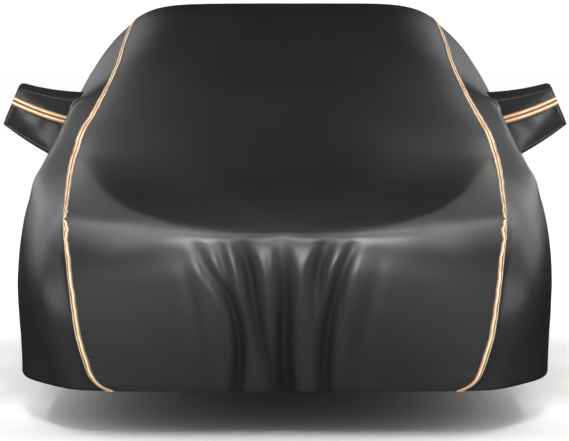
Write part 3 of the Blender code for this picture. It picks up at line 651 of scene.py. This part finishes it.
def woven_tape():
    """Gold-brown tape with two cream reflective lines and stitches down its middle; the tape also
    gives off light in its own colours, a painted glow standing in for its reflection.
    """
    finish = Finish("reflective_tape", Metallic=0.0, Emission_Strength=0.50)
    cut = finish.cut()
    across, along = finish.split(cut, 0), finish.split(cut, 1)
    wobble = (finish.noise(cut, scale=60.0) - 0.5) * 0.0022
    side = finish.maths("ABSOLUTE", across + wobble)
    line = finish.fit(side, 0.0026, 0.0044) * finish.fit(side, 0.0072, 0.0096, 1.0, 0.0)
    edge = finish.fit(side, 0.0114, 0.0130)
    weave = finish.noise(cut, scale=420.0, detail=3.0, rough=0.6)
    wear_and_sheen = finish.fit(finish.noise(cut, scale=9.0, detail=3.0, rough=0.6), 0.35, 0.62, 0.45)
    gold = finish.blend(weave, *GOLD)
    cream = finish.blend(weave, *CREAM)
    stitch = finish.wave(along, TAPE_STITCH_PITCH)
    middle = finish.fit(side, 0.0014, 0.0032, 1.0, 0.0) * finish.fit(stitch, -0.8, 0.4, 0.55)
    shade = finish.blend(line * wear_and_sheen, gold, cream)
    shade = finish.blend(middle * 0.9, shade, BROWN)
    shade = finish.blend(edge * 0.98, shade, TAPE_EDGE)
    # painted glow: the tape's colour is also given off as light, though it is no lamp
    finish.set(Base_Color=shade, Emission_Color=shade)
    finish.set(Roughness=finish.fit(line, 0.0, 1.0, 0.6, 0.38))
    ribs = finish.wave(along, TAPE_RIB_PITCH)
    finish.set(Normal=finish.bump(ribs * 0.5 + weave, distance=0.0004, strength=0.6))
    return finish.data


def thread_finish():
    """Grey sewing thread, lighter and darker by turns."""
    finish = Finish("thread", Metallic=0.0, IOR=1.45)
    tone = finish.noise(finish.place(), scale=90.0)
    finish.set(Base_Color=finish.blend(tone, grey(0.16), grey(0.55)))
    sheen = finish.noise(finish.place(), scale=140.0)
    finish.set(Roughness=finish.fit(sheen, *NOISE_MIDST, 0.35, 0.55))
    return finish.data


def floor_finish():
    return Finish("pale_floor", Roughness=0.9, Base_Color=grey(0.955)).data


# ---- the panels

def side_words(side):
    """What a side is called, and what the right side's points are multiplied by for it."""
    return "right" if side > 0 else "left", np.array((float(side), 1.0, 1.0))


def centre_line(across):
    """The centre panel's line at a place across, as a function of the section."""
    return lambda sections: centre_surface(sections, [across])[:, 0]


def side_line(sections):
    return side_surface(sections, [0.5])[:, 0]


def centre_sections():
    """Places lengthwise, closer together on the front and at its ridge."""
    runs = [spaced(low, high, centre_line(across), step) for low, high, across, step in CENTRE_RUNS]
    return even(end_to_end(runs))


def side_sections():
    """Places lengthwise with a line at each edge of the pocket's window."""
    return end_to_end([even(spaced(low, high, side_line, step)) for low, high, step in SIDE_RUNS])


def centre_places():
    """Places across, closer together over the hanging folds."""
    half = end_to_end([
        np.linspace(0.0, FOLDED_END, FOLD_COLUMNS + 1),
        np.linspace(FOLDED_END, SEAM_STRIP, OUTER_COLUMNS + 1),
        np.linspace(SEAM_STRIP, 1.0, SEAM_COLUMNS + 1),
    ])
    return np.concatenate([-half[:0:-1], half])


def small_folds(out, up):
    """Finer creases between the hanging folds."""
    push = np.zeros_like(out)
    for width, outs, ups, depth in CREASES:
        line = through(ups[::-1], outs[::-1], np.clip(up, ups[-1], ups[0]))
        ends = ease(0.0, 0.05, ups[0] - up) * ease(-0.02, 0.06, up - ups[-1])
        push += depth * ends * bell(out - line, width)
    return push


def beyond_corner(points):
    """How far a place of the bonnet lies outside the line where its flat middle ends."""
    edge_back, edge_out = CORNER_EDGE.T
    back = np.clip(points[..., 1], edge_back[0], edge_back[-1])
    return np.abs(points[..., 0]) - through(edge_back, edge_out, back)


def corner_crease(points):
    """The bonnet's flat middle lies a little lower than its rounder corners."""
    beyond = beyond_corner(points)
    fade = ease(0.06, 0.30, points[..., 1]) * ease(1.45, 1.10, points[..., 1])
    inside = 0.5 * (beyond - np.sqrt(beyond ** 2 + CORNER_ROUND ** 2))
    return fade * CORNER_SLOPE * np.clip(inside, -0.35, 0.0) * ease(-0.45, 0.0, beyond)


def painted_sheen_corners(points, sections):
    """Painted sheen: where the cloth is drawn over the bonnet's corners its colour is made lighter,
    standing in for the light its coating catches there.
    """
    wide = 0.012 + 0.16 * ease(0.5, 0.1, np.abs(points[..., 0]))
    outside = ease(-0.5, 1.0, beyond_corner(points) / wide)
    above = ease(6.2, 7.0, sections)[:, None]
    return outside * ease(1.34, 1.02, points[..., 1]) * above


def painted_sheen_fenders(sections, rises):
    """The same painted sheen over the upper part of a side panel, ahead of its pocket."""
    ahead = ease(7.4, 9.0, sections)[:, None]
    behind = ease(15.4, 14.0, sections)[:, None]
    return ease(0.46, 0.66, rises)[None] * ahead * behind


def puckers(seed, along, from_seam, reach=0.05, height=0.0016):
    """The small gathers that sewing leaves beside a seam."""
    waves = ripple(seed, along, longest=0.060, shortest=0.018)
    swell = 0.6 + 0.4 * ripple(seed + 1, along, longest=0.6, shortest=0.2)
    fade = np.exp(-from_seam / reach * 2.0) * ease(0.0, 0.012, from_seam)
    return height * (waves * swell) * fade


def centre_cloth(finish):
    """The long panel from the front hem over the bonnet, roof and boot to the rear hem."""
    sections, across = centre_sections(), centre_places()
    points = centre_surface(sections, across)
    top = (len(sections) // 2, len(across) // 2)
    along = arc(points[:, top[1]])
    width = np.abs(points[:, -1, 0])[:, None] * across[None]
    length = np.repeat(along[:, None], len(across), axis=1)
    from_seam = (1.0 - np.abs(across))[None] * np.abs(points[:, -1:, 0])
    seam_fade = ease(0.0, 0.12, from_seam)
    hem_fade = ease(0.0, 0.05, length) * ease(0.0, 0.05, along[-1] - length)
    rise = 0.0008 * unrest(3, width, length, longest=1.1, shortest=0.35)
    rise = rise + 0.0002 * unrest(4, width, length, longest=0.25, shortest=0.12)
    rise = rise * seam_fade * hem_fade
    for sign, seed in ((-1, 31), (1, 32)):
        here = (np.sign(across) == sign)[None]
        rise = rise + puckers(seed, length, from_seam) * here
    front = (sections < FRONT_RIDGE)[:, None]
    rise = rise - small_folds(points[..., 0], points[..., 2]) * front
    rise = rise + corner_crease(points) * (1.0 - front)
    rise = rise + BEAD_HEIGHT * bell(sections - FRONT_RIDGE, BEAD_REACH)[:, None]
    points = points + normals_of(points, top, 2, 1) * rise[..., None]
    depth = fold_push(points[..., 0], points[..., 2])
    # painted shade: the deeper a fold's valley, the darker its painted colour
    fold_shade = np.clip(depth / FOLD_SHADE_DEPTH, 0.0, 1.0) * front
    return make_cloth(
        "centre_cloth", points, normals_of(points, top, 2, 1), finish, width, length,
        numbers={"fold_shade": fold_shade, "painted_sheen": painted_sheen_corners(points, sections)},
    )


def side_cloth(side, finish):
    """One side panel, with a window cut out for its pocket."""
    word, turn = side_words(side)
    sections = side_sections()
    rises = end_to_end([
        np.linspace(0.0, SHOULDER_RISE, 2 * LOWER_CELLS + 1),
        np.linspace(SHOULDER_RISE, CABIN_RISE, 2 * WINDOW_CELLS + 1),
        np.linspace(CABIN_RISE, 1.0, 2 * UPPER_CELLS + 1),
    ])
    points = side_surface(sections, rises)
    run = arc(points[:, len(rises) // 2])
    along = np.repeat(run[:, None], len(rises), axis=1)
    height = np.stack([arc(line) for line in points])
    to_seam = np.minimum(height[:, -1:] - height, np.minimum(along, along[-1:] - along))
    edge_fade = ease(0.0, 0.08, height) * ease(0.0, 0.10, to_seam)
    from_pocket = np.abs(sections - sum(POCKET_SECTIONS) / 2)[:, None]
    share = (rises[None] - SHOULDER_RISE) / (CABIN_RISE - SHOULDER_RISE)
    clear = 1.0 - bell(from_pocket, 0.9) * bell(share - 0.5, 0.8)
    seed = 11 if side > 0 else 12
    rise = 0.0016 * unrest(seed, along, height, longest=1.2, shortest=0.35)
    rise = rise + 0.0004 * unrest(seed + 2, along, height, longest=0.3, shortest=0.12)
    rise = rise * edge_fade * clear
    rise = rise + puckers(seed + 30, along + height, to_seam)
    rise = rise + pocket_roll(sections[:, None], share)
    belly = (len(sections) // 2, 20)
    points = (points + normals_of(points, belly, 0, 1) * rise[..., None]) * turn
    left_out = np.zeros(((len(sections) - 1) // 2, (len(rises) - 1) // 2), bool)
    front, back = (int(np.argmin(np.abs(sections - edge))) // 2 for edge in POCKET_SECTIONS)
    left_out[front:back, LOWER_CELLS:LOWER_CELLS + WINDOW_CELLS] = True
    return make_cloth(
        "side_cloth_" + word, points, normals_of(points, belly, 0, side), finish, along, height,
        left_out=left_out, numbers={"painted_sheen": painted_sheen_fenders(sections, rises)},
    )


def pocket_roll(section, share):
    """The soft roll of cloth in front of a pocket's mouth, and the dip ahead of it."""
    beside = section - (POCKET_SECTIONS[0] - ROLL_BEFORE)
    body = ease(-0.35, 0.10, share) * ease(1.30, 0.85, share)
    dip = ease(-0.25, 0.15, share) * ease(1.2, 0.85, share)
    return ROLL_HEIGHT * (bell(beside, 0.040) * body) - ROLL_DIP * (bell(beside + 0.11, 0.05) * dip)


# ---- the mirror pockets

def pocket_faces():
    """The right pocket's front and back face."""
    shares = np.linspace(0.0, 1.0, POCKET_DOWN + 1)
    rises = CABIN_RISE - (CABIN_RISE - SHOULDER_RISE) * shares
    inner = side_surface(POCKET_SECTIONS, rises)
    outer = through(POCKET_SHARES, POCKET_FRONT_EDGE, shares)
    return pocket_face(inner[0], outer, -1), pocket_face(inner[1], outer + POCKET_BACK_SHIFT, 1)


def pocket_face(inner, outer, facing):
    """A face between its inner and outer edge, both top to bottom: across x down x 3."""
    share = np.linspace(0.0, 1.0, POCKET_ACROSS + 1)[:, None, None]
    down = np.linspace(0.0, 1.0, POCKET_DOWN + 1)[None, :]
    points = inner[None] * (1.0 - share) + outer[None] * share
    swell = 4.0 * share[..., 0] * (1.0 - share[..., 0])
    points[..., 1] += facing * POCKET_BULGE * swell * 4.0 * down * (1.0 - down)
    points[..., 2] -= POCKET_SAG * swell
    return points


def rim_of(face):
    """A face's edge as the band follows it: out along the top, down the tip, back in."""
    return np.concatenate([face[:, 0], face[-1, 1:], face[::-1, -1][1:]])


def pocket_panel(name, face, facing, turn, finish):
    """A pocket's front or back face as cloth."""
    run, drop = arc(face[:, POCKET_DOWN // 2]), arc(face[POCKET_ACROSS // 2])
    across, down = np.broadcast_arrays(run[:, None], drop[None])
    edge = np.minimum.reduce([across, run[-1] - across, down, drop[-1] - down])
    soft = 0.0022 * unrest(41, across, down, longest=0.22, shortest=0.07)
    soft = soft * ease(0.0, 0.03, edge)
    soft = soft + puckers(43, across + down, edge, reach=0.03, height=0.0012)
    shape = face.copy()
    shape[..., 1] += facing * soft
    shape = shape * turn
    outward = normals_of(shape, POCKET_SPOT, 1, facing)
    return make_cloth(name, shape, outward, finish, across, down)


def pocket_band(name, faces, turn, finish):
    """The gusset over a pocket's top, down its tip and back under."""
    near, far = rim_of(faces[0]), rim_of(faces[1])
    depth = np.linspace(0.0, 1.0, BAND_ACROSS + 1)[None, :, None]
    band = near[:, None] * (1.0 - depth) + far[:, None] * depth
    away = (near + far) / 2 - (near.mean(0) + far.mean(0)) / 2
    away[:, 1] = 0.0
    run = arc(near)
    bulge = unit(away)[:, None] * BAND_BULGE * 4.0 * depth * (1.0 - depth)
    sections = np.linspace(*POCKET_SECTIONS, BAND_ACROSS + 1)
    fade = ease(0.0, 0.05, run) * ease(0.0, 0.05, run[-1] - run)
    for number, rise in ((0, CABIN_RISE), (-1, SHOULDER_RISE)):
        line = side_surface(sections, [rise])[:, 0]
        share = bell(run - run[number], 0.03)[:, None, None]
        band = band + (line - band[number])[None] * share
    band = (band + bulge * fade[:, None, None]) * turn
    outward = grid_normals(band)
    if (outward * away[:, None] * turn).sum() < 0.0:
        outward = -outward
    wide = np.linspace(0.0, BAND_WIDE, BAND_ACROSS + 1)
    across, length = np.broadcast_arrays(wide[None], run[:, None])
    return make_cloth(name, band, outward, finish, across, length)


def pocket_pieces(side, finish):
    word, turn = side_words(side)
    faces = pocket_faces()
    return (
        pocket_panel("pocket_front_" + word, faces[0], -1, turn, finish),
        pocket_panel("pocket_back_" + word, faces[1], 1, turn, finish),
        pocket_band("pocket_band_" + word, faces, turn, finish),
    )


# ---- the tapes

def seam_frames(sections):
    """On the right seam: points, and unit directions over the centre and the side panel."""
    points = seam_line(sections)
    inside = centre_surface(sections, [0.982])[:, 0]
    rises = np.linspace(0.0, 1.0, 600)
    matched = through(MATCH_RISES, MATCH_SECTIONS, rises)
    upright = np.minimum(sections, LAST_SECTION - sections)
    rise = np.interp(np.minimum(upright, FRONT_RIDGE), matched, rises)
    beside_front = side_surface([FRONT_RIDGE + 0.10], rise)[0]
    beside_rear = side_surface([REAR_RIDGE - 0.10], rise)[0]
    ahead = (sections < LAST_SECTION / 2)[:, None]
    beside = np.where(ahead, beside_front, beside_rear) - points
    along = np.clip(sections, FRONT_RIDGE + 0.02, REAR_RIDGE - 0.02)
    below = side_surface(along, [0.98])[:, 0] - seam_line(along)
    turn = ease(6.6, 7.5, upright)[:, None]
    outside = unit(unit(beside) * (1.0 - turn) + unit(below) * turn)
    return points, unit(inside - points), outside


def tape_kinks(along):
    """Small sideways kinks where the tape was eased round the bonnet's corner."""
    return sum(push * bell(along - spot, 0.012) for spot, push in TAPE_KINKS)


def tape_grid(side, sections):
    """Points of the tape over a long seam, and the directions out of its two wings."""
    _, turn = side_words(side)
    points, inward, outward = seam_frames(sections)
    along = arc(points)
    tangent = unit(np.gradient(points, axis=0))
    over = unit(np.cross(inward, tangent))
    under = unit(np.cross(tangent, outward))
    if over[len(over) // 2, 2] < 0.0:
        over = -over
    if under[len(under) // 2, 0] < 0.0:
        under = -under
    middle = unit(over + under)
    seed = 21 if side > 0 else 22
    drift = 0.0012 * ripple(seed, along, longest=0.35, shortest=0.05) + tape_kinks(along)
    lifts = 0.0003 * ripple(seed + 10, along, longest=0.09, shortest=0.025)
    rows = []
    for place in TAPE_PLACES:
        spot = place + drift
        inner = (spot < 0.0)[:, None]
        direction = np.where(inner, inward, outward)
        share = np.clip(np.abs(spot) / 0.006, 0.0, 1.0)[:, None]
        normal = unit(middle * (1.0 - share) + np.where(inner, over, under) * share)
        raised = RAISED_LINE * bell(abs(place) - LINE_PLACE, 0.0019)
        settle = 0.0013 * ease(0.0110, 0.015, abs(place))
        height = TAPE_LIFT + raised - settle + lifts
        rows.append(points + direction * np.abs(spot)[:, None] + normal * height[:, None])
    return np.stack(rows, axis=1) * turn, over * turn, under * turn


def tape(side, finish):
    """The tape over a long seam, from hem to hem."""
    word, _ = side_words(side)
    sections = spaced(0.0, LAST_SECTION, seam_line, TAPE_STEP)
    grid, _, _ = tape_grid(side, sections)
    flip = cell_turn(grid, 400, 10)[2] > 0.0
    along = arc(seam_line(sections))
    return make_ribbon("seam_ribbon_" + word, grid, flip, finish, TAPE_PLACES, along)


def stripe(side, finish):
    """The tape across a pocket's front face."""
    word, turn = side_words(side)
    face, _ = pocket_faces()
    across = np.linspace(-1.0, 1.0, len(TAPE_PLACES))
    downs = np.linspace(*STRIPE_SHARES, len(across))
    spots = np.linspace(0.0, 1.0, POCKET_DOWN + 1)
    grid = np.stack([through(spots, line, downs) for line in face])
    outward = normals_of(grid, (20, 10), 1, -1)
    raised = RAISED_LINE * bell(np.abs(across) - 0.5, 0.17)
    settle = 0.0011 * ease(0.82, 1.0, np.abs(across))
    grid = (grid + outward * (STRIPE_LIFT + (raised - settle))[None, :, None]) * turn
    flip = cell_turn(grid, 20, 10)[1] < 0.0
    width = across * TAPE_WIDTH * 0.42
    return make_ribbon("pocket_ribbon_" + word, grid, flip, finish, width, arc(grid[:, 10]))


# ---- the sewing

STITCH_SPOTS = np.array((0.0, 0.25, 0.75, 1.0))  # rings along a stitch
STITCH_SIZES = (0.25, 1.0, 1.0, 0.25)  # and how thick it is there
STITCH_RING = [(cos(turn), sin(turn)) for turn in (0.0, pi / 2, pi, 3 * pi / 2)]


def read_line(at, run, points):
    """Points, or other values in threes, read at places along a line."""
    return np.stack([np.interp(at, run, points[:, axis]) for axis in range(3)], axis=-1)


def stitches(name, lines, finish):
    """Short rounded stitches along lines of points, each line with its outward normals."""
    corners, faces = [], []
    for points, normals in lines:
        run = arc(points)
        for start in np.arange(STITCH_PITCH, run[-1] - STITCH_PITCH, STITCH_PITCH):
            centres = read_line(start + STITCH_LONG * STITCH_SPOTS, run, points)
            up = unit(read_line(start, run, normals))
            along = unit(centres[-1] - centres[0])
            wide = unit(np.cross(up, along))
            first = len(corners)
            for centre, size in zip(centres, STITCH_SIZES):
                lift = centre + up * STITCH_THICK * 0.35 * size
                for beside, above in STITCH_RING:
                    reach = wide * beside + up * above * 0.8
                    corners.append(lift + reach * STITCH_THICK / 2 * size)
            for ring in (first, first + 4, first + 8):
                for corner in range(4):
                    here, after = ring + corner, ring + (corner + 1) % 4
                    faces.append([here, after, after + 4, here + 4])
            faces.append([first + 3, first + 2, first + 1, first])
            faces.append([first + 12, first + 13, first + 14, first + 15])
    return make_piece(name, on_ground(np.array(corners)), faces, finish)


def tape_stitches(side, finish):
    """Two rows of stitches on the seam tape, near its edges."""
    word, _ = side_words(side)
    sections = spaced(0.0, LAST_SECTION, seam_line, 0.009)
    grid, over, under = tape_grid(side, sections)
    return stitches("seam_stitches_" + word, [(grid[:, 2], over), (grid[:, -3], under)], finish)


def pocket_stitches(side, finish):
    """A row of stitches inside the pocket's top, tip and lower edges, front face."""
    word, turn = side_words(side)
    face, _ = pocket_faces()
    outward = normals_of(face, POCKET_SPOT, 1, -1)
    rows = (np.s_[1:-2, 2], np.s_[-3, 2:-2], np.s_[1:-2, -3])
    lines = []
    for row in rows:
        normals = outward[row] * turn
        lines.append((face[row] * turn + normals * 0.0012, normals))
    return stitches("pocket_stitches_" + word, lines, finish)


# ---- studio

WORLD_LIGHT = 1.15
# Lights in pairs, the right one: place, aim, size in metres, watts, and the spread in
# degrees where a grid narrows it
PAIRED_LIGHTS = {
    "back_box_": ((5.4, 5.8, 3.0), (0.6, -1.4, 0.1), (6.6, 4.8), 120.0),
    "side_box_": ((8.3, -2.9, 1.6), (0.0, -1.0, -0.6), (6.0, 3.5), 150.0),
    "pocket_box_": ((0.1, -3.6, 2.9), (0.93, -1.2, -0.42), (0.6, 0.6), 0.6, 16.0),
    "cabin_box_": ((3.0, 0.0, 2.7), (0.82, -1.45, -0.52), (0.8, 0.8), 1.6, 15.0),
}
# Lights on the middle plane, with the same columns
MIDDLE_LIGHTS = {
    "fascia_top": ((0.0, -5.6, 1.4), (0.0, -2.6, -0.86), (2.0, 0.3), 2.7, 14.0),
    "front_fill": ((0.0, -15.8, 1.0), (0.0, 0.0, -0.8), (10.0, 2.4), 100.0),
}
# Gridded strips over the front ridge: out, back, width, watts for each metre of width
RIDGE_LIGHTS = ((0.0, 0.085, 0.50, 0.16), (0.40, 0.140, 0.34, 0.52), (0.63, 0.245, 0.24, 0.52))
RIDGE_UP = 0.68  # the ridge above the ground
RIDGE_AWAY = 0.30  # a strip stands this far before the ridge
RIDGE_ABOVE = 1.10  # and this far above it
RIDGE_THIN, RIDGE_SPREAD = 0.04, 9.0
FLOOR_SPAN = 600.0


def add_light(name, place, aim, size, power, spread=180.0):
    lamp = bpy.data.lights.new(name, "AREA")
    lamp.shape = "RECTANGLE"
    lamp.size, lamp.size_y = size
    lamp.energy = power
    lamp.spread = radians(spread)
    holder = add_object(name, lamp)
    holder.location = place
    holder.rotation_euler = (Vector(aim) - Vector(place)).to_track_quat("-Z", "Y").to_euler()
    holder.visible_camera = False


def ridge_strip(side, out, back, width, power):
    """A strip light over the front ridge, turned as the ridge runs there."""
    before = unit(np.array((side * out, -1.0, 0.0)))
    edge = np.array((side * out, back - CROWN_BACK, GROUND_Z + RIDGE_UP))
    above = edge + before * RIDGE_AWAY + np.array((0.0, 0.0, RIDGE_ABOVE))
    name = "ridge_strip_%.2f" % (side * out)
    add_light(name, above, edge, (width, RIDGE_THIN), width * power, RIDGE_SPREAD)


def studio():
    world = bpy.data.worlds.new("studio")
    bpy.context.scene.world = world
    world.use_nodes = True
    background = world.node_tree.nodes["Background"]
    background.inputs[0].default_value = grey(1.0)
    background.inputs[1].default_value = WORLD_LIGHT
    world.cycles_visibility.glossy = False
    for side in (-1, 1):
        word, turn = side_words(side)
        for name, (place, aim, *values) in PAIRED_LIGHTS.items():
            add_light(name + word, place * turn, aim * turn, *values)
    for out, back, width, power in RIDGE_LIGHTS:
        for side in (-1, 1) if out else (1,):
            ridge_strip(side, out, back, width, power)
    for name, values in MIDDLE_LIGHTS.items():
        add_light(name, *values)


def floor(finish):
    signs = ((-1, -1), (1, -1), (1, 1), (-1, 1))
    corners = [(FLOOR_SPAN * out, FLOOR_SPAN * back, GROUND_Z) for out, back in signs]
    made = make_piece("floor", corners, [(0, 1, 2, 3)], finish)
    made.visible_glossy = False


CAMERA_UP = 1.22  # above the ground
CAMERA_AWAY = 11.0  # before the nose
SENSOR_WIDTH = 36.0  # millimetres
PHOTO_WIDE, PHOTO_HIGH = 569, 441
FOCUS_PIXELS = 3409.0  # focal length in pixels of the photo
MIDDLE_X = 285.0  # the cover's middle plane in the photo
HORIZON_Y = 62.5  # the camera's own height in the photo


def camera():
    lens = bpy.data.cameras.new("camera")
    lens.sensor_width = SENSOR_WIDTH
    lens.lens = FOCUS_PIXELS * SENSOR_WIDTH / PHOTO_WIDE
    lens.clip_end = 2000.0
    made = add_object("camera", lens)
    made.location = (0.0, -CROWN_BACK - CAMERA_AWAY, CAMERA_UP + GROUND_Z)
    dip = (PHOTO_HIGH / 2 - HORIZON_Y) / FOCUS_PIXELS
    turn = (PHOTO_WIDE / 2 - MIDDLE_X) / FOCUS_PIXELS
    made.rotation_euler = Vector((turn, 1.0, -dip)).to_track_quat("-Z", "Y").to_euler()
    bpy.context.scene.camera = made


# ---- putting it together


def declare(piece, node):
    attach(piece, "root")
    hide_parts(node)


def main():
    bpy.context.scene.view_settings.view_transform = "Standard"
    cloth, gold, thread = cover_cloth(), woven_tape(), thread_finish()
    declare(centre_cloth(cloth), "centre_panel")
    for side, word in ((-1, "left"), (1, "right")):
        panel = side_cloth(side, cloth)
        declare(panel, "side_panel_" + word)
        front, back, band = pocket_pieces(side, cloth)
        declare(front, "mirror_front_" + word)
        declare(back, "mirror_back_" + word)
        declare(band, "mirror_band_" + word)
        declare(tape(side, gold), "seam_tape_" + word)
        declare(stripe(side, gold), "mirror_tape_" + word)
        for sewn in (tape_stitches(side, thread), pocket_stitches(side, thread)):
            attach(sewn, "root")
    floor(floor_finish())
    studio()
    camera()


main()
